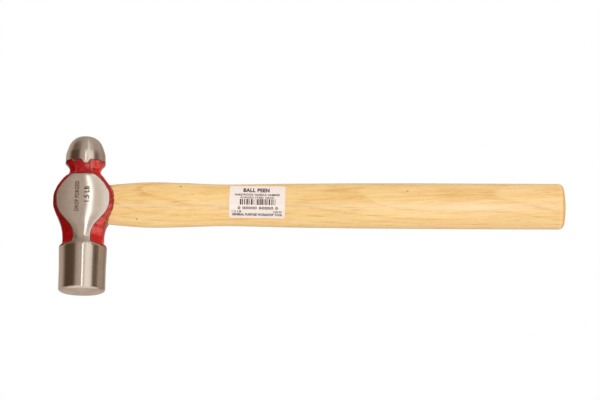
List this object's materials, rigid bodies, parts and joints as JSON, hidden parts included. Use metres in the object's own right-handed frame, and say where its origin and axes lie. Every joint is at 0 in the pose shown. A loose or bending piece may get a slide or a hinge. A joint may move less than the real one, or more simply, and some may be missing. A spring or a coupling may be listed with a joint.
{
  "type": "ball peen hammer",
  "caption": "Ball peen hammer: forged steel head with a domed peen and a round striking face, octagonal necks, red enamel, and an oval wooden handle wedged into the eye.",
  "frame": {"origin": "the middle of the striking end's cylinder, on the head's axis", "axes": "+X along the handle to the butt, +Y along the head to the ball, +Z out of the upper cheek; the hammer lies on its side"},
  "size_m": [0.3768, 0.1184, 0.0352],
  "materials": {
    "head_steel": "ground bare steel with red enamel on the necks and boss",
    "handle_wood": "clear lacquer",
    "wedge_wood": "bare",
    "wedge_steel": "rolled, dull",
    "label_paper": "coated white"
  },
  "bodies": {
    "root": {"hammer_head": "head_steel", "handle": "handle_wood", "wood_wedge": "wedge_wood", "steel_wedge_ball_side": "wedge_steel", "steel_wedge_face_side": "wedge_steel", "handle_label": "label_paper"}
  },
  "joints": []
}
